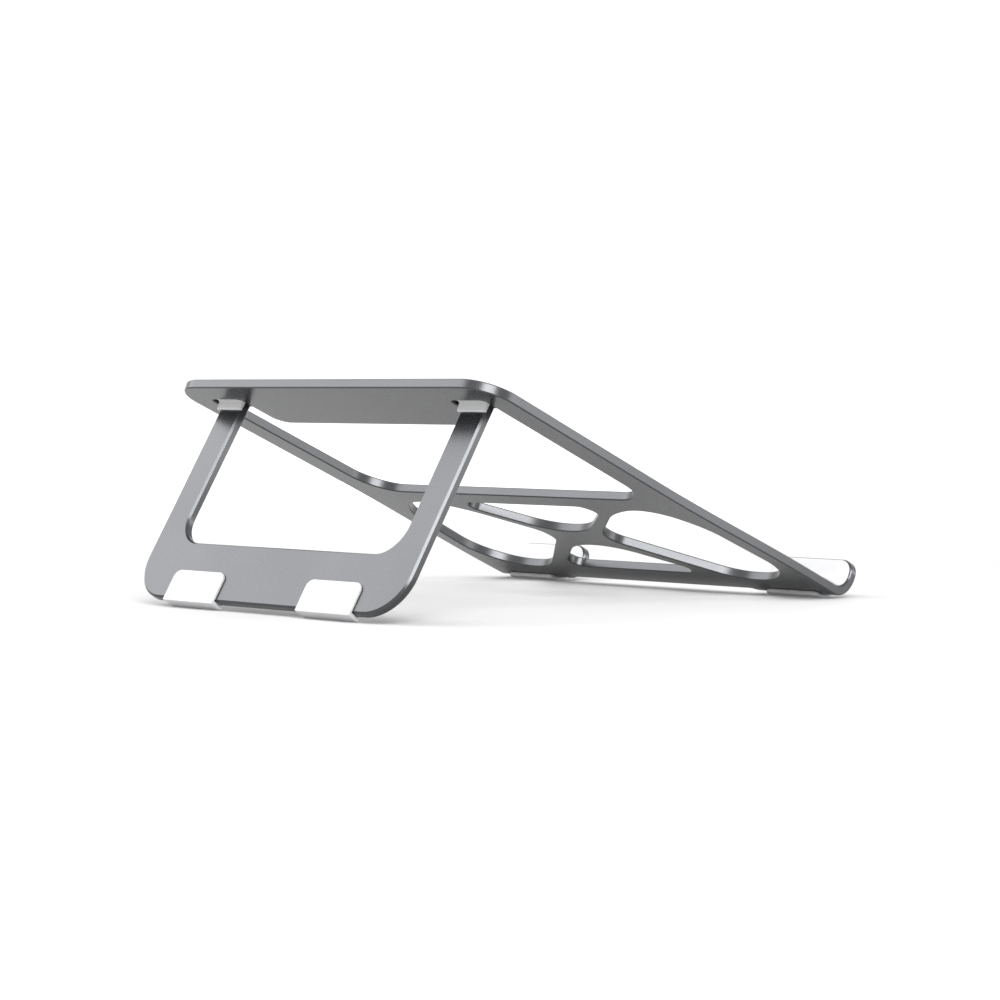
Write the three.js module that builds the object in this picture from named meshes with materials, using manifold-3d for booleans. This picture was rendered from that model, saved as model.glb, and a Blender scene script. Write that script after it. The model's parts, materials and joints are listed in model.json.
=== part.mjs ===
// Folding laptop stand: one cut and bent aluminium plate, and a U-shaped aluminium leg that swings
// out of the plate's window on two steel pins. Silicone pads line the hooks and take the feet.
//
// Frame: millimetres, +Z up. +X is the user's right, +Y points away from the user, and the front
// hooks are at -Y. The origin is under the middle of the standing object, on the desk.
//
// Plate drawing frame: x across, v up the slope from the line where the hooks start to bend, and n
// out of the top face, with n = 0 on the underside. Leg drawing frame: the leg lies folded in the
// plate, its hinge axis on the X axis and its foot towards -Y.
import * as THREE from "three";
import * as BufferGeometryUtils from "three/addons/utils/BufferGeometryUtils.js";
import Module from "manifold-3d";

const wasm = await Module();
wasm.setup();

// ---- driving dimensions ---------------------------------------------------------------------

const sheet = 4.6; // thickness of the plate and of the leg
const plateChamfer = 0.55; // chamfer along the plate's edges
const legChamfer = 0.95;
const seatGap = 0.3; // clearance between a piece and what it seats on or passes
const cutMargin = 1; // how far a cutting tool runs past the face it cuts

const plateLength = 256; // hook bend line to rear edge
const frontWidth = 232;
const sideTaper = 6; // each side comes in by this much towards the rear
const flareStart = 13; // the sides widen between these two places along v
const flareEnd = 132;
const rearCornerRadius = 18.5;

const railWidth = 15.3; // each side of the window
const windowCornerRadius = 20;
const rearStrip = 14.7; // metal behind the hinge notches
const notchCornerRadius = 3;
const tongueSetback = 43.5; // rear edge to the front of the tongue between the hinge notches
const tongueCornerRadius = 8;
const webFrontRim = 13.7; // metal in front of each side cut-out, from the hook bend line

const hookWidth = 50.7;
const hookBendRadius = 13; // outside of the bend
const hookHeight = 21; // top of the lip above the underside
const hookCornerRadius = 7;

const armOuterGap = 2.7; // rail to arm
const armInnerGap = 3.4; // arm to tongue
const legLength = 109.3; // hinge axis to bottom edge
const armWidth = 16.1;
const legBarHeight = 30;
const legOuterRadius = 21;
const legInnerRadius = 14.8;
const openAngle = THREE.MathUtils.degToRad(99.1); // between folded and open
const hingeSetback = 23.1; // rear edge to hinge axis

const pinDiameter = 2.4;
const pinDepthInTongue = 12;
const capLength = 3;
const pinChamfer = 0.3;
const spacerWall = 0.5;

const bumperOverhang = 0.85; // past each side of the arm
const bumperDrop = 3.4; // how far its lip hangs below the underside
const bumperLip = 1.3; // thickness of the lip behind the arm
const bumperStep = 1; // underside of the block behind the lip
const bumperRadius = 0.5;
const bumperKeyLift = 0.5; // above the block's underside
const bumperKeyHeight = 1.8;
const bumperKeyDepth = 3;
const bumperKeyWidth = 12;

const bootWidth = 36;
const bootHeight = 14.5; // up the leg's faces from its bottom edge
const bootWall = 0.85; // silicone on the leg's faces
const bootSole = 1.55; // silicone below the leg's bottom edge
const bootInset = 27; // outer end of each boot to the side of the leg
const bootCornerRadius = 4;
const bootSoleRadius = 0.6;
const bootChamfer = 0.3;

const linerWall = 1.2; // silicone on the inside of each hook
const linerReach = 10; // how far it runs up the plate from the bend line
const linerInset = 0.8; // bare metal left round it
const linerCornerRadius = 4;

const frontFootWidth = 33.1;
const frontFootWall = 1.7;
const frontFootFlat = 1.2; // bottom face, this far outside the bent metal
const frontFootRear = 2.2; // how far it runs behind the bend line
const frontFootSweep = THREE.MathUtils.degToRad(44); // how far it runs round the bend

const gripThickness = 1.3;
const gripRecess = 0.6;
const rearGripLength = 46;
const rearGripWidth = 9;
const rearGripInset = 5.5; // outer end to the side of the tongue
const rearGripSetback = 28;
const crossGripLength = 60;
const crossGripWidth = 5;
const gripChamfer = 0.3;

const arcSteps = 5; // half the straight steps in each rounded corner

// ---- sizes that follow ----------------------------------------------------------------------

const hingeV = plateLength - hingeSetback;
const hingeN = sheet / 2;
const notchEnd = plateLength - rearStrip;
const frontHalf = frontWidth / 2;
const rearHalf = frontHalf - sideTaper;
const windowHalf = rearHalf - railWidth;
const legHalf = windowHalf - armOuterGap;
const armInner = legHalf - armWidth;
const tongueHalf = armInner - armInnerGap;
const boreDiameter = pinDiameter + 2 * seatGap;
const spacerDiameter = boreDiameter + 2 * spacerWall;
const hookOuterX = frontHalf;
const hookInnerX = hookOuterX - hookWidth;
const hookMiddleX = hookOuterX - hookWidth / 2;
const bootHalfThickness = sheet / 2 + seatGap + bootWall;
const bootBottom = legLength + seatGap + bootSole;
const bumperKeyLevel = bumperStep + bumperKeyLift + bumperKeyHeight / 2;
const windowFront = hingeV - bootBottom - seatGap; // the folded boots just clear it

// The slope brings the front feet and the boots down to one desk: with A sin(a) + B cos(a) = -C,
// C is the height of the bend's centre when the flat of a front foot is on the desk. A boot stands
// on the front edge of its sole, where the chamfer begins.
function standingSlope() {
  const soleEdge = bootHalfThickness - bootChamfer;
  const bendCentreHeight = hookBendRadius + seatGap + frontFootFlat;
  const sin = Math.sin(openAngle);
  const cos = Math.cos(openAngle);
  const A = hingeV - bootBottom * cos - soleEdge * sin;
  const B = hingeN - hookBendRadius - bootBottom * sin + soleEdge * cos;
  return Math.atan2(-B, A) - Math.asin(bendCentreHeight / Math.hypot(A, B));
}
const slope = standingSlope();

// ---- materials ------------------------------------------------------------------------------

const finishes = {
  anodised: { color: 0x77777b, roughness: 0.34, metalness: 1 },
  silicone: { color: 0xf1f1f2, roughness: 0.6, metalness: 0 },
  steel: { color: 0xb9bbbd, roughness: 0.25, metalness: 1 },
  nylon: { color: 0x2b2b2d, roughness: 0.5, metalness: 0 },
};

// ---- shape helpers --------------------------------------------------------------------------

// A closed path through corners [x, y, radius], each corner replaced by its tangent arc.
function roundedPath(PathType, corners) {
  const path = new PathType();
  const count = corners.length;
  corners.forEach(([x, y, radius], i) => {
    const here = new THREE.Vector2(x, y);
    const before = corners[(i + count - 1) % count];
    const after = corners[(i + 1) % count];
    const back = new THREE.Vector2(before[0], before[1]).sub(here).normalize();
    const ahead = new THREE.Vector2(after[0], after[1]).sub(here).normalize();
    const half = Math.acos(THREE.MathUtils.clamp(back.dot(ahead), -1, 1)) / 2;
    const reach = radius / Math.tan(half);
    const start = here.clone().addScaledVector(back, reach);
    const end = here.clone().addScaledVector(ahead, reach);
    const middle = back.clone().add(ahead).normalize();
    const centre = here.clone().addScaledVector(middle, radius / Math.sin(half));
    const from = Math.atan2(start.y - centre.y, start.x - centre.x);
    const to = Math.atan2(end.y - centre.y, end.x - centre.x);
    const clockwise = back.cross(ahead) > 0;
    if (i === 0) path.moveTo(start.x, start.y);
    else path.lineTo(start.x, start.y);
    if (radius > 0) path.absarc(centre.x, centre.y, radius, from, to, clockwise);
  });
  path.closePath();
  return path;
}

function mirrored(corners) {
  return corners.map(([x, y, radius]) => [-x, y, radius]).reverse();
}

function roundedRectangle(width, height, radius, x = 0, y = 0) {
  const right = x + width / 2;
  const top = y + height / 2;
  return roundedPath(THREE.Shape, [
    [right - width, top - height, radius],
    [right, top - height, radius],
    [right, top, radius],
    [right - width, top, radius],
  ]);
}

// A flat piece from z = bottom to z = top, with every edge of both faces chamfered.
function slab(shape, bottom, top, chamfer = 0) {
  const geometry = new THREE.ExtrudeGeometry(shape, {
    depth: top - bottom - 2 * chamfer,
    curveSegments: arcSteps,
    bevelEnabled: chamfer > 0,
    bevelThickness: chamfer,
    bevelSize: chamfer,
    bevelOffset: -chamfer,
    bevelSegments: 1,
  });
  return geometry.translate(0, 0, bottom + chamfer);
}

// A profile drawn in (y, z) and run along X between two places.
function barAlongX(shape, fromX, toX, chamfer = 0) {
  const geometry = slab(shape, fromX, toX, chamfer);
  const turn = new THREE.Matrix4().set(0, 0, 1, 0, 1, 0, 0, 0, 0, 1, 0, 0, 0, 0, 0, 1);
  return geometry.applyMatrix4(turn);
}

// An outline drawn in (x, z) and run along Y between two places.
function barAlongY(shape, fromY, toY) {
  const geometry = slab(shape, -toY, -fromY);
  return geometry.rotateX(Math.PI / 2);
}

// A round bar along X, turned about its own axis.
function rodAlongX(diameter, fromX, toX, chamfer = 0) {
  const radius = diameter / 2;
  const profile = [
    new THREE.Vector2(0, fromX),
    new THREE.Vector2(radius - chamfer, fromX),
    new THREE.Vector2(radius, fromX + chamfer),
    new THREE.Vector2(radius, toX - chamfer),
    new THREE.Vector2(radius - chamfer, toX),
    new THREE.Vector2(0, toX),
  ].filter((point, i, all) => i === 0 || !point.equals(all[i - 1]));
  return new THREE.LatheGeometry(profile, 4 * arcSteps).rotateZ(-Math.PI / 2);
}

function solid(geometry) {
  const plain = geometry.clone();
  plain.deleteAttribute("normal");
  plain.deleteAttribute("uv");
  const merged = BufferGeometryUtils.mergeVertices(plain, 1e-4);
  const mesh = new wasm.Mesh({
    numProp: 3,
    vertProperties: new Float32Array(merged.attributes.position.array),
    triVerts: new Uint32Array(merged.index.array),
  });
  return new wasm.Manifold(mesh);
}

function join(first, ...others) {
  return others.reduce((sum, other) => sum.add(solid(other)), solid(first));
}

function cut(body, ...tools) {
  return tools.reduce((rest, tool) => rest.subtract(solid(tool)), body);
}

function toGeometry(manifold) {
  const { vertProperties, triVerts, numProp } = manifold.getMesh();
  const geometry = new THREE.BufferGeometry();
  geometry.setAttribute("position", new THREE.BufferAttribute(vertProperties, numProp));
  geometry.setIndex(new THREE.BufferAttribute(triVerts, 1));
  geometry.computeVertexNormals();
  return geometry;
}

function addPiece(group, name, geometry, finish) {
  const mesh = new THREE.Mesh(geometry, new THREE.MeshStandardMaterial(finishes[finish]));
  mesh.name = name;
  group.add(mesh);
}

// ---- plate ----------------------------------------------------------------------------------

// Straight front edge, sides that narrow towards the rear, and rounded rear corners.
function plateOutline() {
  const front = frontHalf;
  const rear = rearHalf;
  const bend = (flareEnd - flareStart) / 3;
  const cornerV = plateLength - rearCornerRadius;
  const cornerX = rear - rearCornerRadius;
  const shape = new THREE.Shape();
  shape.moveTo(-front, 0);
  shape.lineTo(front, 0);
  shape.lineTo(front, flareStart);
  shape.bezierCurveTo(front, flareStart + bend, rear, flareEnd - bend, rear, flareEnd);
  shape.lineTo(rear, cornerV);
  shape.absarc(cornerX, cornerV, rearCornerRadius, 0, Math.PI / 2, false);
  shape.lineTo(-cornerX, plateLength);
  shape.absarc(-cornerX, cornerV, rearCornerRadius, Math.PI / 2, Math.PI, false);
  shape.lineTo(-rear, flareEnd);
  shape.bezierCurveTo(-rear, flareEnd - bend, -front, flareStart + bend, -front, flareStart);
  shape.closePath();
  return shape;
}

// The window that the leg folds into, with a hinge notch on each side of the tongue.
function windowCorners() {
  const right = [
    [windowHalf, windowFront, windowCornerRadius],
    [windowHalf, notchEnd, notchCornerRadius],
    [tongueHalf, notchEnd, notchCornerRadius],
    [tongueHalf, plateLength - tongueSetback, tongueCornerRadius],
  ];
  return [...right, ...mirrored(right)];
}

// The web in front of the window is an X between four cut-outs. A corner is given as fractions of
// half the web's width and of its depth, and its radius as a fraction of the smaller of the two.
const sideHole = [
  [0.716, 0.92, 0.202],
  [0.453, 0.83, 0.52],
  [0.129, 0.543, 0.112],
  [0.562, webFrontRim / windowFront, 0.241],
  [0.938, webFrontRim / windowFront, 0.241],
  [0.874, 0.712, 0.35],
];
const rearHole = [
  [0.467, 0.902, 0.06],
  [-0.467, 0.902, 0.06],
  [0, 0.506, 0.293],
];
const frontHole = [
  [0.436, 0.15, 0.053],
  [0, 0.552, 0.297],
  [-0.436, 0.15, 0.053],
];

function onWeb(corners) {
  const scale = Math.min(frontHalf, windowFront);
  return corners.map(([across, along, radius]) => [
    across * frontHalf,
    along * windowFront,
    radius * scale,
  ]);
}

// The hook's section in (v, n): a short flat root inside the plate, the bend and the lip.
function hookSection() {
  const inner = hookBendRadius - sheet;
  const root = flareStart / 2;
  const shape = new THREE.Shape();
  shape.moveTo(root, 0);
  shape.lineTo(root, sheet);
  shape.lineTo(0, sheet);
  shape.absarc(0, hookBendRadius, inner, -Math.PI / 2, -Math.PI, true);
  shape.lineTo(-inner, hookHeight);
  shape.lineTo(-hookBendRadius, hookHeight);
  shape.absarc(0, hookBendRadius, hookBendRadius, Math.PI, 1.5 * Math.PI, false);
  shape.closePath();
  return shape;
}

// What of a hook-shaped piece stays between two side faces, with round upper corners.
function lipOutline(innerX, outerX, top, radius) {
  const depth = -2 * hookBendRadius;
  return roundedPath(THREE.Shape, [
    [innerX, depth, 0],
    [outerX, depth, 0],
    [outerX, top, radius],
    [innerX, top, radius],
  ]);
}

function hook(side) {
  const [fromX, toX] = side > 0 ? [hookInnerX, hookOuterX] : [-hookOuterX, -hookInnerX];
  const section = solid(barAlongX(hookSection(), fromX, toX, plateChamfer));
  const outline = lipOutline(fromX, toX, hookHeight, hookCornerRadius);
  const reach = 2 * hookBendRadius;
  return section.intersect(solid(barAlongY(outline, -reach, reach)));
}

function gripPlaces() {
  const rearV = plateLength - rearGripSetback;
  const rearX = tongueHalf - rearGripInset - rearGripLength / 2;
  const crossV = (onWeb(rearHole)[0][1] + windowFront) / 2;
  return [
    { name: "rear_grip_left", x: -rearX, v: rearV, size: [rearGripLength, rearGripWidth] },
    { name: "rear_grip_right", x: rearX, v: rearV, size: [rearGripLength, rearGripWidth] },
    { name: "middle_grip", x: 0, v: crossV, size: [crossGripLength, crossGripWidth] },
  ];
}

function gripOutline({ x, v, size: [length, width] }, growth = 0) {
  const height = width + 2 * growth;
  return roundedRectangle(length + 2 * growth, height, height / 2, x, v);
}

function bumperX(side) {
  return side * (legHalf - armWidth / 2);
}

function bumperKeySlot(side) {
  const width = bumperKeyWidth + 2 * seatGap;
  const height = bumperKeyHeight + 2 * seatGap;
  const depth = bumperKeyDepth + seatGap + cutMargin;
  const middle = notchEnd - cutMargin + depth / 2;
  const tool = new THREE.BoxGeometry(width, depth, height);
  return tool.translate(bumperX(side), middle, bumperKeyLevel);
}

// From outside the rail, across the notch and into the tongue.
function pinBore(side) {
  const inner = tongueHalf - pinDepthInTongue - seatGap;
  const outer = rearHalf + cutMargin;
  const bore = rodAlongX(boreDiameter, inner, outer);
  if (side < 0) bore.rotateZ(Math.PI);
  return bore.translate(0, hingeV, hingeN);
}

function buildPlate() {
  const outline = plateOutline();
  const webHoles = [sideHole, mirrored(sideHole), rearHole, frontHole].map(onWeb);
  outline.holes = [windowCorners(), ...webHoles].map((corners) => roundedPath(THREE.Path, corners));
  let plate = solid(slab(outline, 0, sheet, plateChamfer));
  plate = plate.add(hook(-1)).add(hook(1));
  const recesses = gripPlaces().map((place) =>
    slab(gripOutline(place, seatGap), sheet - gripRecess, sheet + cutMargin));
  plate = cut(plate, ...recesses);
  return cut(plate, pinBore(-1), pinBore(1), bumperKeySlot(-1), bumperKeySlot(1));
}

// ---- silicone on the plate ------------------------------------------------------------------

// A strip that follows the inside of the hook from its lip to the plate's top face.
function hookLiner(side) {
  const outer = hookBendRadius - sheet - seatGap;
  const inner = outer - linerWall;
  const low = sheet + seatGap;
  const top = hookHeight - linerInset;
  const shape = new THREE.Shape();
  shape.moveTo(linerReach, low);
  shape.lineTo(linerReach, low + linerWall);
  shape.lineTo(0, low + linerWall);
  shape.absarc(0, hookBendRadius, inner, -Math.PI / 2, -Math.PI, true);
  shape.lineTo(-inner, top);
  shape.lineTo(-outer, top);
  shape.absarc(0, hookBendRadius, outer, Math.PI, 1.5 * Math.PI, false);
  shape.closePath();
  const near = hookInnerX + linerInset;
  const far = hookOuterX - linerInset;
  const [fromX, toX] = side > 0 ? [near, far] : [-far, -near];
  const strip = solid(barAlongX(shape, fromX, toX));
  const radius = hookCornerRadius - linerInset;
  const lip = solid(barAlongY(lipOutline(fromX, toX, top, radius), -hookBendRadius, linerReach));
  const length = linerReach + 2 * hookBendRadius;
  const middle = linerReach - length / 2;
  const plan = roundedRectangle(toX - fromX, length, linerCornerRadius, side * hookMiddleX, middle);
  return strip.intersect(lip).intersect(solid(slab(plan, 0, hookHeight)));
}

// A curved pad under the bend, cut flat where it meets the desk.
function frontFoot(side) {
  const centreN = hookBendRadius;
  const inner = hookBendRadius + seatGap;
  const outer = inner + frontFootWall;
  const flatHalf = Math.acos((inner + frontFootFlat) / outer);
  const down = -Math.PI / 2 - slope; // the desk's direction, seen from the bend's centre
  const end = -Math.PI / 2 - frontFootSweep;
  const shape = new THREE.Shape();
  shape.moveTo(frontFootRear, -seatGap);
  shape.lineTo(0, -seatGap);
  shape.absarc(0, centreN, inner, -Math.PI / 2, end, true);
  shape.absarc(0, centreN, outer, end, down - flatHalf, false);
  shape.absarc(0, centreN, outer, down + flatHalf, -Math.PI / 2, false);
  shape.lineTo(frontFootRear, centreN - outer);
  shape.closePath();
  const middle = side * hookMiddleX;
  const half = frontFootWidth / 2;
  return barAlongX(shape, middle - half, middle + half);
}

// Fills the notch behind the arm, where it is keyed into the rear strip. Its thin lip hangs below
// the underside along the open arm's rear face.
function hingeBumper(side) {
  const reach = sheet / 2 + seatGap;
  const sin = Math.sin(openAngle);
  const cos = Math.cos(openAngle);
  const faceAt = (n) => hingeV + reach * sin - (hingeN - reach * cos - n) * (cos / sin);
  const lipBottom = -bumperDrop;
  const lipRear = faceAt(lipBottom) + bumperLip;
  const rear = notchEnd - seatGap;
  const shape = roundedPath(THREE.Shape, [
    [faceAt(lipBottom), lipBottom, bumperRadius],
    [lipRear, lipBottom, bumperRadius],
    [lipRear, bumperStep, bumperRadius],
    [rear, bumperStep, 0],
    [rear, sheet, bumperRadius],
    [faceAt(sheet), sheet, bumperRadius],
  ]);
  const middle = bumperX(side);
  const half = armWidth / 2 + bumperOverhang;
  const block = barAlongX(shape, middle - half, middle + half);
  const keyLength = 2 * bumperKeyDepth;
  const key = new THREE.BoxGeometry(bumperKeyWidth, keyLength, bumperKeyHeight);
  key.translate(middle, rear, bumperKeyLevel);
  return join(block, key);
}

function grip(place) {
  const bottom = sheet - gripRecess + seatGap;
  return slab(gripOutline(place), bottom, bottom + gripThickness, gripChamfer);
}

// ---- hinge ----------------------------------------------------------------------------------

function mirrorToSide(geometry, side) {
  return side < 0 ? geometry.rotateZ(Math.PI) : geometry;
}

function hingePin(side) {
  const inner = tongueHalf - pinDepthInTongue;
  const outer = rearHalf - capLength - seatGap;
  return mirrorToSide(rodAlongX(pinDiameter, inner, outer, pinChamfer), side);
}

function hingeCap(side) {
  const inner = rearHalf - capLength;
  return mirrorToSide(rodAlongX(pinDiameter, inner, rearHalf, pinChamfer), side);
}

// A washer on the pin, filling the gap between an arm and the metal beside it.
function hingeSpacer(side, fromX, toX) {
  const ring = cut(
    solid(rodAlongX(spacerDiameter, fromX + seatGap, toX - seatGap)),
    rodAlongX(boreDiameter, fromX, toX),
  );
  return mirrorToSide(toGeometry(ring), side);
}

// ---- leg ------------------------------------------------------------------------------------

function legOutline() {
  const barTop = legBarHeight - legLength;
  return roundedPath(THREE.Shape, [
    [-legHalf, 0, 0],
    [-legHalf, -legLength, legOuterRadius],
    [legHalf, -legLength, legOuterRadius],
    [legHalf, 0, 0],
    [armInner, 0, 0],
    [armInner, barTop, legInnerRadius],
    [-armInner, barTop, legInnerRadius],
    [-armInner, 0, 0],
  ]);
}

function buildLeg() {
  const knuckles = [-1, 1].map((side) =>
    mirrorToSide(rodAlongX(sheet, armInner, legHalf, legChamfer), side));
  const bore = rodAlongX(boreDiameter, -legHalf - cutMargin, legHalf + cutMargin);
  const frame = slab(legOutline(), -sheet / 2, sheet / 2, legChamfer);
  return cut(join(frame, ...knuckles), bore);
}

// A silicone boot over the leg's bottom edge: a block with the leg's section taken out.
function legBoot(side) {
  const top = bootHeight - legLength;
  const middle = side * (legHalf - bootInset - bootWidth / 2);
  const height = top + bootBottom;
  const outline = roundedPath(THREE.Shape, [
    [middle - bootWidth / 2, -bootBottom, bootSoleRadius],
    [middle + bootWidth / 2, -bootBottom, bootSoleRadius],
    [middle + bootWidth / 2, top, bootCornerRadius],
    [middle - bootWidth / 2, top, bootCornerRadius],
  ]);
  const block = slab(outline, -bootHalfThickness, bootHalfThickness, bootChamfer);
  const slotThickness = sheet + 2 * seatGap;
  const slot = new THREE.BoxGeometry(bootWidth + 2 * cutMargin, height, slotThickness);
  slot.translate(middle, height / 2 - legLength - seatGap, 0);
  return cut(solid(block), slot);
}

// ---- assembly -------------------------------------------------------------------------------

const stand = new THREE.Group();

const platform = new THREE.Group();
platform.rotation.x = slope;
stand.add(platform);

const hinge = new THREE.Group();
hinge.position.set(0, hingeV, hingeN);
platform.add(hinge);

const leg = new THREE.Group();
leg.rotation.x = openAngle;
hinge.add(leg);

addPiece(platform, "platform_plate", toGeometry(buildPlate()), "anodised");
addPiece(leg, "support_leg", toGeometry(buildLeg()), "anodised");
for (const place of gripPlaces()) addPiece(platform, place.name, grip(place), "silicone");

for (const [side, word] of [[-1, "left"], [1, "right"]]) {
  addPiece(platform, `hook_liner_${word}`, toGeometry(hookLiner(side)), "silicone");
  addPiece(platform, `front_foot_${word}`, frontFoot(side), "silicone");
  addPiece(platform, `hinge_bumper_${word}`, toGeometry(hingeBumper(side)), "silicone");
  addPiece(hinge, `hinge_pin_${word}`, hingePin(side), "steel");
  addPiece(hinge, `hinge_cap_${word}`, hingeCap(side), "anodised");
  addPiece(hinge, `inner_spacer_${word}`, hingeSpacer(side, tongueHalf, armInner), "nylon");
  addPiece(hinge, `outer_spacer_${word}`, hingeSpacer(side, legHalf, windowHalf), "nylon");
  addPiece(leg, `leg_boot_${word}`, toGeometry(legBoot(side)), "silicone");
}

// Stand it on the desk with the origin under its middle.
stand.updateMatrixWorld(true);
const extent = new THREE.Box3().setFromObject(stand, true);
stand.position.set(0, -(extent.min.y + extent.max.y) / 2, -extent.min.z);

export default stand;
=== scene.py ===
"""Looks of a folding laptop stand: satin grey anodised aluminium with chamfered edges and white
moulded silicone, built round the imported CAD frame.

Plate drawing frame: x across, v up the slope from the line where the hooks start to bend, n out
of the top face. Leg drawing frame: hinge axis on X, the leg folded towards -Y. Metres.
"""
import json
import math

import bmesh
import bpy
from mathutils import Matrix, Vector


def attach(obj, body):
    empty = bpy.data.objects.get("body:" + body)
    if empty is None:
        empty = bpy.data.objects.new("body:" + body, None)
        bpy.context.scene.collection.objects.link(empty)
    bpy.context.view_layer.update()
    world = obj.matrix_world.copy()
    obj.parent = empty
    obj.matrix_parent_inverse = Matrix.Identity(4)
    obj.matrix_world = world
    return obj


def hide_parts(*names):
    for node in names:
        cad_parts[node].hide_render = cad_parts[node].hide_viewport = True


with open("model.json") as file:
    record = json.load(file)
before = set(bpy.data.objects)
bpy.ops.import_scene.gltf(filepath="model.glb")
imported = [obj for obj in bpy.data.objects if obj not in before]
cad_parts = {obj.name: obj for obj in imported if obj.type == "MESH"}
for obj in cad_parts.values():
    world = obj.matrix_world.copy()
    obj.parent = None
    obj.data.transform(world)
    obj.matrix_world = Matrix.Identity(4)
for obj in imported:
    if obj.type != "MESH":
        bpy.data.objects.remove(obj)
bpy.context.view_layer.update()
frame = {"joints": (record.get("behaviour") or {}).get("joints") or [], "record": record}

MM = 0.001

# ---- sizes, as in the CAD ---------------------------------------------------------------------

SHEET = 4.6 * MM
PLATE_CHAMFER = 0.55 * MM
LEG_CHAMFER = 0.95 * MM

PLATE_LENGTH = 256 * MM
REAR_HALF = 110 * MM
FRONT_HALF = 116 * MM
FLARE_START = 13 * MM
FLARE_END = 132 * MM
REAR_RADIUS = 18.5 * MM

WINDOW_HALF = 94.7 * MM
WINDOW_FRONT = 121.45 * MM
WINDOW_RADIUS = 20 * MM
NOTCH_END = 241.3 * MM
NOTCH_RADIUS = 3 * MM
TONGUE_HALF = 72.5 * MM
TONGUE_FRONT = 212.5 * MM
TONGUE_RADIUS = 8 * MM

BEND_RADIUS = 13 * MM
HOOK_INNER = 65.3 * MM
HOOK_HEIGHT = 21 * MM
HOOK_CORNER = 7 * MM
HOOK_FILLET = 3 * MM
HOOK_MIDDLE = (HOOK_INNER + FRONT_HALF) / 2
TAB_LENGTH = BEND_RADIUS * math.pi / 2 + HOOK_HEIGHT - BEND_RADIUS

HINGE_V = 232.9 * MM
HINGE_N = SHEET / 2
PIN_DIAMETER = 2.9 * MM
BORE_DIAMETER = 3.0 * MM
PIN_TIP = 60.5 * MM
PIN_CHAMFER = 0.3 * MM
CAP_LENGTH = 3 * MM
CAP_CHAMFER = 0.03 * MM
SPACER_DIAMETER = 4.1 * MM
SPACER_CHAMFER = 0.2 * MM

LEG_HALF = 92 * MM
LEG_LENGTH = 109.3 * MM
ARM_WIDTH = 16.1 * MM
LEG_BAR = 30 * MM
LEG_OUTER_RADIUS = 21 * MM
LEG_INNER_RADIUS = 14.8 * MM
ARM_INNER = LEG_HALF - ARM_WIDTH

BOOT_WIDTH = 36 * MM
BOOT_HEIGHT = 14.5 * MM
BOOT_HALF = 3.45 * MM  # half its thickness
BOOT_BOTTOM = LEG_LENGTH + 1.85 * MM
BOOT_X = 47 * MM
BOOT_CORNER = 4 * MM
BOOT_SOLE_CORNER = 0.8 * MM
BOOT_EDGE = 0.3 * MM

BUMPER_HALF = 8.9 * MM  # half its width
BUMPER_DROP = 3.4 * MM
BUMPER_LIP = 1.3 * MM
BUMPER_STEP = 1 * MM
BUMPER_EDGE = 0.3 * MM
BUMPER_FRONT_ROUND = 0.4 * MM
BUMPER_LIP_ROUND = 0.8 * MM
BUMPER_STEP_ROUND = 0.6 * MM
BUMPER_REAR_ROUND = 0.3 * MM

LINER_TOP = 6.1 * MM
LINER_REACH = 10 * MM
LINER_INSET = 0.8 * MM
LINER_CORNER = 4 * MM
LINER_EDGE = 0.5 * MM

FOOT_WIDTH = 33.1 * MM
FOOT_REAR = 2.2 * MM
FOOT_SWEEP = math.radians(44)
FOOT_DEPTH = 2 * MM  # below the metal, before the desk cuts it flat
FOOT_CORNER = 2.5 * MM
FOOT_EDGE = 0.5 * MM

GRIP_BOTTOM = SHEET - 0.6 * MM
GRIP_TOP = 5.6 * MM
GRIP_EDGE = 0.45 * MM
RECESS_GAP = 0.1 * MM  # round each grip
# name, middle x, middle v, length, width
GRIPS = [
    ("rear_grip_left", -44 * MM, 228 * MM, 46 * MM, 9 * MM),
    ("rear_grip_right", 44 * MM, 228 * MM, 46 * MM, 9 * MM),
    ("middle_grip", 0, 115.5 * MM, 60 * MM, 5 * MM),
]

# The corners of the web's cut-outs: x, v and radius, in millimetres.
SIDE_HOLE = [
    (83.1, 111.7, 23.4),
    (52.5, 100.8, 60.3),
    (15, 65.9, 13),
    (65.2, 13.7, 28),
    (108.8, 13.7, 28),
    (101.4, 86.5, 40.6),
]
REAR_HOLE = [(54.2, 109.5, 7), (-54.2, 109.5, 7), (0, 61.5, 34)]
FRONT_HOLE = [(50.6, 18.2, 6.2), (0, 67.1, 34.5), (-50.6, 18.2, 6.2)]

TOUCH = 0.02 * MM  # hairline between pieces that rest on each other
CUT_MARGIN = 1 * MM  # how far a cutting tool runs past the face it cuts
SHARP_ANGLE = math.radians(35)  # edges past this stay sharp when a piece is shaded
ARC_STEPS = 20
BUMPER_ARC_STEPS = 6
FLARE_STEPS = 24
BEND_CUTS = 24
ROUND_STEPS = 64
EDGE_STEPS = 4  # round each silicone edge
BOOT_EDGE_STEPS = 3

# Lens and sensor in millimetres. Places in metres, from the floor under the stand's middle.
CAMERA_LENS = 101.1
CAMERA_SENSOR = 36
CAMERA_PLACE = Vector((-0.9737, 0.9660, 0.0984))
CAMERA_AHEAD = Vector((0.70552, -0.70775, -0.03637))
CAMERA_ROLL = math.radians(-0.19)
LIGHT_TARGET = Vector((0, 0, 0.05))
FLOOR_HALF = 8
FLOOR_TOP = -0.0001  # just under the feet
FLOOR_BOTTOM = -0.02

# ---- places -----------------------------------------------------------------------------------

joint = frame["joints"][0]
open_angle = math.radians(joint["range_deg"][1])
rest_normal = next(m["axis"] for m in frame["record"]["mounts"] if m["name"] == "laptop_rest")
slope = math.atan2(-rest_normal[1], rest_normal[2])
hinge = Vector(joint["pos_m"])

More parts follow.
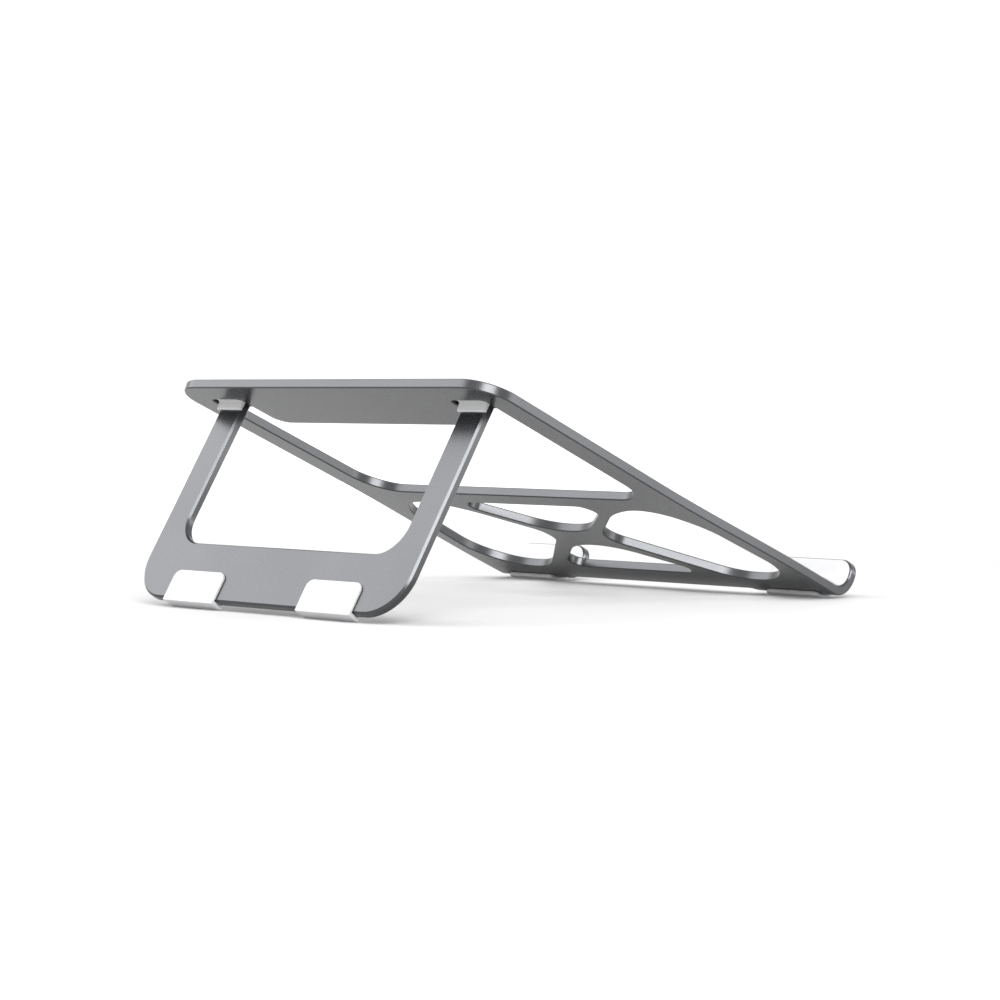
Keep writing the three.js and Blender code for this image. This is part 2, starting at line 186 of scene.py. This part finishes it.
turn = Matrix.Rotation(slope, 4, "X")
plate_place = Matrix.Translation(hinge) @ turn @ Matrix.Translation((0, -HINGE_V, -HINGE_N))
hinge_place = Matrix.Translation(hinge) @ turn
leg_place = hinge_place @ Matrix.Rotation(open_angle, 4, "X")

# ---- outlines ---------------------------------------------------------------------------------


def rounded(corners, steps=ARC_STEPS):
    """A closed outline through corners (x, y, radius), each replaced by its tangent arc."""
    points = []
    for i, (x, y, radius) in enumerate(corners):
        here = Vector((x, y))
        if radius <= 0:
            points.append(here)
            continue
        back = (Vector(corners[i - 1][:2]) - here).normalized()
        ahead = (Vector(corners[(i + 1) % len(corners)][:2]) - here).normalized()
        half = back.angle(ahead) / 2
        centre = here + (back + ahead).normalized() * (radius / math.sin(half))
        start = here + back * (radius / math.tan(half)) - centre
        sweep = (math.pi - 2 * half) * math.copysign(1, -back.cross(ahead))
        for k in range(steps + 1):
            points.append(centre + Matrix.Rotation(sweep * k / steps, 2) @ start)
    return points


def mirrored(corners):
    return [(-x, y, radius) for x, y, radius in reversed(corners)]


def millimetres(corners):
    return [(x * MM, y * MM, radius * MM) for x, y, radius in corners]


def rectangle(low_x, low_y, high_x, high_y, low_radius, high_radius=None):
    """A rectangle with round corners, whose upper two may have a radius of their own."""
    high_radius = low_radius if high_radius is None else high_radius
    return rounded([
        (low_x, low_y, low_radius),
        (high_x, low_y, low_radius),
        (high_x, high_y, high_radius),
        (low_x, high_y, high_radius),
    ])


def flare():
    """The side's cubic curve from its wide front to its narrow rear."""
    third = (FLARE_END - FLARE_START) / 3
    a, b = Vector((FRONT_HALF, FLARE_START)), Vector((FRONT_HALF, FLARE_START + third))
    c, d = Vector((REAR_HALF, FLARE_END - third)), Vector((REAR_HALF, FLARE_END))
    curve = []
    for k in range(FLARE_STEPS + 1):
        t = k / FLARE_STEPS
        p = a * (1 - t) ** 3 + b * 3 * t * (1 - t) ** 2 + c * 3 * t * t * (1 - t) + d * t ** 3
        curve.append((p.x, p.y, 0))
    return curve


def plate_outlines():
    """The flat pattern: the plate with its hook tabs unrolled past v = 0, then its holes."""
    right = [
        (HOOK_INNER, 0, HOOK_FILLET),
        (HOOK_INNER, -TAB_LENGTH, HOOK_CORNER),
        (FRONT_HALF, -TAB_LENGTH, HOOK_CORNER),
        *flare(),
        (REAR_HALF, PLATE_LENGTH, REAR_RADIUS),
    ]
    window = [
        (WINDOW_HALF, WINDOW_FRONT, WINDOW_RADIUS),
        (WINDOW_HALF, NOTCH_END, NOTCH_RADIUS),
        (TONGUE_HALF, NOTCH_END, NOTCH_RADIUS),
        (TONGUE_HALF, TONGUE_FRONT, TONGUE_RADIUS),
    ]
    side, rear, front = (millimetres(hole) for hole in (SIDE_HOLE, REAR_HOLE, FRONT_HOLE))
    holes = [window + mirrored(window), side, mirrored(side), rear, front]
    return [rounded(corners) for corners in [right + mirrored(right), *holes]]


def leg_outline():
    top = LEG_CHAMFER
    bar = LEG_BAR - LEG_LENGTH
    right = [
        (LEG_HALF, -LEG_LENGTH, LEG_OUTER_RADIUS),
        (LEG_HALF, top, 0),
        (ARM_INNER, top, 0),
        (ARM_INNER, bar, LEG_INNER_RADIUS),
    ]
    return rounded(right + mirrored(right))


# ---- mesh helpers -----------------------------------------------------------------------------


def new_object(name, mesh):
    made = bpy.data.objects.new(name, mesh)
    bpy.context.scene.collection.objects.link(made)
    return made


def edit(mesh, change):
    """Runs change on the mesh as a bmesh."""
    bm = bmesh.new()
    bm.from_mesh(mesh)
    change(bm)
    bm.to_mesh(mesh)
    bm.free()
    mesh.update()


def clean(bm):
    """Merges what coincides and turns every face outwards."""
    bmesh.ops.remove_doubles(bm, verts=bm.verts, dist=1e-6)
    bmesh.ops.dissolve_degenerate(bm, edges=bm.edges, dist=1e-6)
    bmesh.ops.recalc_face_normals(bm, faces=bm.faces)


def evaluated_mesh(made):
    graph = bpy.context.evaluated_depsgraph_get()
    return bpy.data.meshes.new_from_object(made.evaluated_get(graph))


def slab(name, outlines, bottom, top, edge, edge_steps=1):
    """A flat piece with its outlines filled, and every edge of both faces cut or rounded."""
    curve = bpy.data.curves.new(name, "CURVE")
    curve.dimensions = "2D"
    curve.fill_mode = "BOTH"
    curve.extrude = (top - bottom) / 2 - edge
    curve.bevel_depth = edge
    curve.bevel_resolution = edge_steps - 1
    curve.offset = -edge
    for outline in outlines:
        spline = curve.splines.new("POLY")
        spline.points.add(len(outline) - 1)
        for point, place in zip(spline.points, outline):
            point.co = (place.x, place.y, 0, 1)
        spline.use_cyclic_u = True
    shape = new_object(name, curve)
    mesh = evaluated_mesh(shape)
    bpy.data.objects.remove(shape)
    mesh.transform(Matrix.Translation((0, 0, (bottom + top) / 2)))
    edit(mesh, clean)
    return new_object(name, mesh)


def rod(name, diameter, low_x, high_x, chamfer, bore=0):
    """A round bar along X, or a ring if it has a bore."""
    outer, inner = diameter / 2, bore / 2
    section = [
        (low_x, outer - chamfer),
        (low_x + chamfer, outer),
        (high_x - chamfer, outer),
        (high_x, outer - chamfer),
    ]
    if inner:
        section += [(high_x, inner), (low_x, inner)]

    def build(bm):
        rings = []
        for k in range(ROUND_STEPS):
            angle = 2 * math.pi * k / ROUND_STEPS
            ring = [bm.verts.new((x, r * math.cos(angle), r * math.sin(angle))) for x, r in section]
            rings.append(ring)
        last = len(section) if inner else len(section) - 1
        for k, ring in enumerate(rings):
            following = rings[(k + 1) % ROUND_STEPS]
            for j in range(last):
                i = (j + 1) % len(section)
                bm.faces.new((ring[j], following[j], following[i], ring[i]))
        if not inner:
            bm.faces.new([ring[0] for ring in rings])
            bm.faces.new([ring[-1] for ring in rings])
        bmesh.ops.recalc_face_normals(bm, faces=bm.faces)

    mesh = bpy.data.meshes.new(name)
    edit(mesh, build)
    return new_object(name, mesh)


def block(name, low, high):
    mesh = bpy.data.meshes.new(name)
    size = Vector(high) - Vector(low)
    middle = (Vector(high) + Vector(low)) / 2
    place = Matrix.Translation(middle) @ Matrix.Diagonal((*size, 1))
    edit(mesh, lambda bm: bmesh.ops.create_cube(bm, size=1, matrix=place))
    return new_object(name, mesh)


def combine(made, tools, operation):
    """Joins or cuts made with each tool, and removes the tools."""
    for tool in tools:
        step = made.modifiers.new("combine", "BOOLEAN")
        step.operation = operation
        step.solver = "EXACT"
        step.object = tool
        mesh = evaluated_mesh(made)
        made.modifiers.clear()
        made.data = mesh
        bpy.data.objects.remove(tool)
    edit(made.data, clean)


def roll_hook(made):
    """Rolls what lies past v = 0 up round the hook's bend, keeping its thickness."""
    quarter = BEND_RADIUS * math.pi / 2

    def bend(bm):
        for k in range(BEND_CUTS + 1):
            cut = -quarter * k / BEND_CUTS
            parts = bm.verts[:] + bm.edges[:] + bm.faces[:]
            bmesh.ops.bisect_plane(
                bm, geom=parts, dist=1e-7, plane_co=(0, cut, 0), plane_no=(0, 1, 0))
        for vert in bm.verts:
            x, v, n = vert.co
            if v < 0:
                along = min(-v, quarter)
                angle = along / BEND_RADIUS
                reach = BEND_RADIUS - n
                lift = -v - along
                vert.co = (x, -reach * math.sin(angle), BEND_RADIUS - reach * math.cos(angle) + lift)

    edit(made.data, bend)


def turn_to_side(made, side):
    """Gives a bar that was made for the right-hand side half a turn if it belongs on the left."""
    if side < 0:
        made.data.transform(Matrix.Rotation(math.pi, 4, "Z"))


def place_piece(made, place, body, node, material):
    """Moves the mesh to its place, shades it, and gives it to its body."""
    made.data.transform(place)
    made.data.shade_smooth()
    made.data.set_sharp_from_angle(angle=SHARP_ANGLE)
    made.data.materials.clear()
    made.data.materials.append(material)
    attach(made, body)
    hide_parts(node)


# ---- materials --------------------------------------------------------------------------------


NOISE_RANGE = (0.3, 0.7)


def new_material(name):
    material = bpy.data.materials.new(name)
    material.use_nodes = True
    tree = material.node_tree
    return material, tree, tree.nodes["Principled BSDF"]


def object_coordinates(tree):
    return tree.nodes.new("ShaderNodeTexCoord").outputs["Object"]


def noise(tree, scale, detail):
    texture = tree.nodes.new("ShaderNodeTexNoise")
    texture.inputs["Scale"].default_value = scale
    texture.inputs["Detail"].default_value = detail
    tree.links.new(object_coordinates(tree), texture.inputs["Vector"])
    return texture.outputs["Fac"]


def ramp(tree, value, low, high):
    """Runs from one grey or colour to another over the middle of the noise's range."""
    node = tree.nodes.new("ShaderNodeValToRGB")
    for stop, at, colour in zip(node.color_ramp.elements, NOISE_RANGE, (low, high)):
        stop.position = at
        stop.color = (*colour, 1) if isinstance(colour, tuple) else (colour, colour, colour, 1)
    tree.links.new(value, node.inputs["Fac"])
    return node.outputs["Color"]


def bump(tree, shader, height, distance, strength):
    node = tree.nodes.new("ShaderNodeBump")
    node.inputs["Distance"].default_value = distance
    node.inputs["Strength"].default_value = strength
    tree.links.new(height, node.inputs["Height"])
    tree.links.new(node.outputs["Normal"], shader.inputs["Normal"])


def colour_and_roughness(tree, shader, colour, roughness):
    tree.links.new(colour, shader.inputs["Base Color"])
    tree.links.new(roughness, shader.inputs["Roughness"])


def anodised(name):
    """Bead-blasted, dyed aluminium: a fine satin grain and faint cloudiness from the dye bath."""
    material, tree, shader = new_material(name)
    shader.inputs["Metallic"].default_value = 1.0
    grain = noise(tree, 2600, 2.0)
    cloud = noise(tree, 22, 3.0)
    colour = ramp(tree, cloud, (0.079, 0.081, 0.085), (0.086, 0.088, 0.092))
    colour_and_roughness(tree, shader, colour, ramp(tree, grain, 0.24, 0.32))
    bump(tree, shader, grain, 0.012 * MM, 0.35)
    return material


def silicone(name):
    """White moulded silicone with the faint spark-eroded texture of its mould."""
    material, tree, shader = new_material(name)
    texture = noise(tree, 1500, 3.0)
    shade = noise(tree, 60, 2.0)
    colour = ramp(tree, shade, (0.49, 0.49, 0.50), (0.53, 0.53, 0.535))
    colour_and_roughness(tree, shader, colour, ramp(tree, texture, 0.48, 0.62))
    shader.inputs["Subsurface Weight"].default_value = 0.15
    shader.inputs["Subsurface Scale"].default_value = 1.5 * MM
    bump(tree, shader, texture, 0.02 * MM, 0.4)
    return material


def ground_steel(name):
    material, tree, shader = new_material(name)
    shader.inputs["Metallic"].default_value = 1.0
    marks = noise(tree, 900, 4.0)
    colour = ramp(tree, marks, (0.42, 0.43, 0.44), (0.52, 0.53, 0.54))
    colour_and_roughness(tree, shader, colour, ramp(tree, marks, 0.2, 0.32))
    bump(tree, shader, marks, 0.01 * MM, 0.3)
    return material


def nylon(name):
    material, tree, shader = new_material(name)
    texture = noise(tree, 1200, 2.0)
    colour = ramp(tree, texture, (0.018, 0.018, 0.02), (0.03, 0.03, 0.033))
    colour_and_roughness(tree, shader, colour, ramp(tree, texture, 0.4, 0.55))
    bump(tree, shader, texture, 0.01 * MM, 0.3)
    return material


METAL = anodised("anodised_aluminium")
SILICONE = silicone("white_silicone")
STEEL = ground_steel("ground_steel")
NYLON = nylon("black_nylon")

# ---- pieces -----------------------------------------------------------------------------------


def grip_outline(x, v, length, width, growth=0):
    half = length / 2 + growth
    reach = width / 2 + growth
    return rectangle(x - half, v - reach, x + half, v + reach, reach - TOUCH)


def make_plate():
    plate = slab("platform_plate_visual", plate_outlines(), 0, SHEET, PLATE_CHAMFER)
    roll_hook(plate)
    tools = []
    for side in (-1, 1):
        bore = rod("bore", BORE_DIAMETER, PIN_TIP - TOUCH, REAR_HALF + CUT_MARGIN, 0)
        turn_to_side(bore, side)
        bore.data.transform(Matrix.Translation((0, HINGE_V, HINGE_N)))
        tools.append(bore)
    for name, *place in GRIPS:
        outline = grip_outline(*place, RECESS_GAP)
        tools.append(slab("recess", [outline], GRIP_BOTTOM, SHEET + CUT_MARGIN, RECESS_GAP))
    combine(plate, tools, "DIFFERENCE")
    place_piece(plate, plate_place, "plate", "platform_plate", METAL)


def make_leg():
    leg = slab("support_leg_visual", [leg_outline()], -SHEET / 2, SHEET / 2, LEG_CHAMFER)
    knuckles = []
    for side in (-1, 1):
        knuckle = rod("knuckle", SHEET, ARM_INNER, LEG_HALF, LEG_CHAMFER)
        turn_to_side(knuckle, side)
        knuckles.append(knuckle)
    combine(leg, knuckles, "UNION")
    bore = rod("bore", BORE_DIAMETER, -LEG_HALF - CUT_MARGIN, LEG_HALF + CUT_MARGIN, 0)
    combine(leg, [bore], "DIFFERENCE")
    place_piece(leg, leg_place, "leg", "support_leg", METAL)


def make_hinge(side, word):
    cap_seat = REAR_HALF - CAP_LENGTH
    pin = rod("pin", PIN_DIAMETER, PIN_TIP, cap_seat - TOUCH, PIN_CHAMFER)
    cap = rod("cap", BORE_DIAMETER - TOUCH, cap_seat, REAR_HALF, CAP_CHAMFER)
    spacers = []
    for low_x, high_x in ((TONGUE_HALF, ARM_INNER), (LEG_HALF, WINDOW_HALF)):
        ends = low_x + TOUCH, high_x - TOUCH
        spacers.append(rod("spacer", SPACER_DIAMETER, *ends, SPACER_CHAMFER, BORE_DIAMETER))
    pieces = [
        (pin, "hinge_pin", "steel", STEEL),
        (cap, "hinge_cap", "anodised_aluminium", METAL),
        (spacers[0], "inner_spacer", "nylon", NYLON),
        (spacers[1], "outer_spacer", "nylon", NYLON),
    ]
    for made, node, slot, material in pieces:
        made.name = f"{node}_{word}_visual"
        turn_to_side(made, side)
        place_piece(made, hinge_place, "plate", f"{node}_{word}", material)


def make_bumper(side, word):
    """A block in the notch behind the arm, with a thin lip hanging down the open arm's rear face."""
    reach = SHEET / 2 + TOUCH
    sin, cos = math.sin(open_angle), math.cos(open_angle)

    def face_at(n):
        return HINGE_V + reach * sin - (HINGE_N - reach * cos - n) * cos / sin

    low = -BUMPER_DROP
    rear = NOTCH_END - TOUCH
    lip_rear = face_at(low) + BUMPER_LIP
    corners = [
        (face_at(low), low, BUMPER_FRONT_ROUND),
        (lip_rear, low, BUMPER_LIP_ROUND),
        (lip_rear, BUMPER_STEP, BUMPER_STEP_ROUND),
        (rear, BUMPER_STEP, BUMPER_REAR_ROUND),
        (rear, SHEET, BUMPER_FRONT_ROUND),
        (face_at(SHEET), SHEET, BUMPER_FRONT_ROUND),
    ]
    middle = side * (LEG_HALF + ARM_INNER) / 2
    name = f"hinge_bumper_{word}"
    outline = rounded(corners, BUMPER_ARC_STEPS)
    bumper = slab(f"{name}_visual", [outline], -BUMPER_HALF, BUMPER_HALF, BUMPER_EDGE, EDGE_STEPS)
    along_x = Matrix(((0, 0, 1, middle), (1, 0, 0, 0), (0, 1, 0, 0), (0, 0, 0, 1)))
    place_piece(bumper, plate_place @ along_x, "plate", name, SILICONE)


def make_liner(side, word):
    """A flat strip inside the hook's outline, rolled up with the hook."""
    name = f"hook_liner_{word}"
    near_x = side * (HOOK_INNER + LINER_INSET)
    far_x = side * (FRONT_HALF - LINER_INSET)
    low, high = sorted((near_x, far_x))
    lip = HOOK_CORNER - LINER_INSET
    outline = rectangle(low, LINER_INSET - TAB_LENGTH, high, LINER_REACH, lip, LINER_CORNER)
    liner = slab(f"{name}_visual", [outline], SHEET + TOUCH, LINER_TOP, LINER_EDGE, EDGE_STEPS)
    roll_hook(liner)
    place_piece(liner, plate_place, "plate", name, SILICONE)


def make_front_foot(side, word):
    """A pad rolled round the outside of the bend, and cut flat where it meets the desk."""
    name = f"front_foot_{word}"
    low = side * HOOK_MIDDLE - FOOT_WIDTH / 2
    high = side * HOOK_MIDDLE + FOOT_WIDTH / 2
    outline = rectangle(low, -FOOT_SWEEP * BEND_RADIUS, high, FOOT_REAR, FOOT_CORNER)
    foot = slab(f"{name}_visual", [outline], -FOOT_DEPTH, -TOUCH, FOOT_EDGE, EDGE_STEPS)
    roll_hook(foot)
    to_desk = plate_place.inverted()
    for vert in foot.data.vertices:
        standing = plate_place @ vert.co
        standing.z = max(standing.z, 0.0)
        vert.co = to_desk @ standing
    place_piece(foot, plate_place, "plate", name, SILICONE)


def make_boot(side, word):
    """A block over the leg's bottom edge, with the leg's section taken out."""
    name = f"leg_boot_{word}"
    middle = side * BOOT_X
    half = BOOT_WIDTH / 2
    top = BOOT_HEIGHT - LEG_LENGTH
    outline = rectangle(
        middle - half, -BOOT_BOTTOM, middle + half, top, BOOT_SOLE_CORNER, BOOT_CORNER)
    boot = slab(f"{name}_visual", [outline], -BOOT_HALF, BOOT_HALF, BOOT_EDGE, BOOT_EDGE_STEPS)
    inside = SHEET / 2 + TOUCH
    slot_low = (middle - BOOT_WIDTH, -LEG_LENGTH - TOUCH, -inside)
    slot_high = (middle + BOOT_WIDTH, 0, inside)
    combine(boot, [block("slot", slot_low, slot_high)], "DIFFERENCE")
    place_piece(boot, leg_place, "leg", name, SILICONE)


def make_grip(name, *place):
    outline = grip_outline(*place)
    grip = slab(f"{name}_visual", [outline], GRIP_BOTTOM + TOUCH, GRIP_TOP, GRIP_EDGE, EDGE_STEPS)
    place_piece(grip, plate_place, "plate", name, SILICONE)


make_plate()
make_leg()
for side, word in ((-1, "left"), (1, "right")):
    make_hinge(side, word)
    make_bumper(side, word)
    make_liner(side, word)
    make_front_foot(side, word)
    make_boot(side, word)
for grip in GRIPS:
    make_grip(*grip)

# ---- floor, light and camera ------------------------------------------------------------------


def make_floor():
    """A pale sweep with a painted glow, white emission that rises away from the stand, so that it
    meets the backdrop unseen.
    """
    low = (-FLOOR_HALF, -FLOOR_HALF, FLOOR_BOTTOM)
    high = (FLOOR_HALF, FLOOR_HALF, FLOOR_TOP)
    floor = block("floor", low, high)
    material, tree, shader = new_material("pale_floor")
    tree.links.new(ramp(tree, noise(tree, 3, 3.0), 0.51, 0.53), shader.inputs["Base Color"])
    shader.inputs["Roughness"].default_value = 0.9
    distance = tree.nodes.new("ShaderNodeVectorMath")
    distance.operation = "LENGTH"
    tree.links.new(object_coordinates(tree), distance.inputs[0])
    # Painted glow: white emission on the floor, from 0.08 near the stand to 0.7 far off, standing in
    # for light so the far floor reads white.
    painted_glow = tree.nodes.new("ShaderNodeMapRange")
    painted_glow.interpolation_type = "SMOOTHSTEP"
    painted_glow.inputs["From Min"].default_value = 0.25
    painted_glow.inputs["From Max"].default_value = 1.6
    painted_glow.inputs["To Min"].default_value = 0.08
    painted_glow.inputs["To Max"].default_value = 0.7
    tree.links.new(distance.outputs["Value"], painted_glow.inputs["Value"])
    shader.inputs["Emission Color"].default_value = (1, 1, 1, 1)
    tree.links.new(painted_glow.outputs["Result"], shader.inputs["Emission Strength"])
    floor.data.materials.append(material)


def add_softbox(name, place, size, radiance):
    """A rectangular light of an even radiance, aimed at the stand."""
    light = bpy.data.lights.new(name, "AREA")
    light.shape = "RECTANGLE"
    light.size, light.size_y = size
    light.energy = radiance * math.pi * size[0] * size[1]
    made = new_object(name, light)
    made.location = place
    aim = LIGHT_TARGET - Vector(place)
    made.rotation_euler = aim.to_track_quat("-Z", "Y").to_euler()


def make_light():
    world = bpy.data.worlds.new("studio")
    bpy.context.scene.world = world
    world.use_nodes = True
    background = world.node_tree.nodes["Background"]
    background.inputs["Color"].default_value = (1, 1, 1, 1)
    background.inputs["Strength"].default_value = 1.1
    add_softbox("far_softbox", (1.5, 1.0, 1.15), (2.0, 1.5), 3.2)
    add_softbox("key_softbox", (-1.32, 0.94, 1.16), (1.1, 1.0), 9.5)
    add_softbox("side_softbox", (-1.6, -1.55, 0.4), (1.8, 0.8), 3.2)


def make_camera():
    data = bpy.data.cameras.new("camera")
    data.sensor_width = CAMERA_SENSOR
    data.lens = CAMERA_LENS
    camera = new_object("camera", data)
    ahead = CAMERA_AHEAD.normalized()
    right = ahead.cross(Vector((0, 0, 1))).normalized()
    up = right.cross(ahead)
    roll = Matrix.Rotation(CAMERA_ROLL, 3, ahead)
    right, up = roll @ right, roll @ up
    camera.matrix_world = Matrix((
        (right.x, up.x, -ahead.x, CAMERA_PLACE.x),
        (right.y, up.y, -ahead.y, CAMERA_PLACE.y),
        (right.z, up.z, -ahead.z, CAMERA_PLACE.z),
        (0, 0, 0, 1),
    ))
    data.clip_start = 0.05
    data.clip_end = 50
    bpy.context.scene.camera = camera


make_floor()
make_light()
make_camera()
bpy.context.scene.view_settings.view_transform = "Standard"
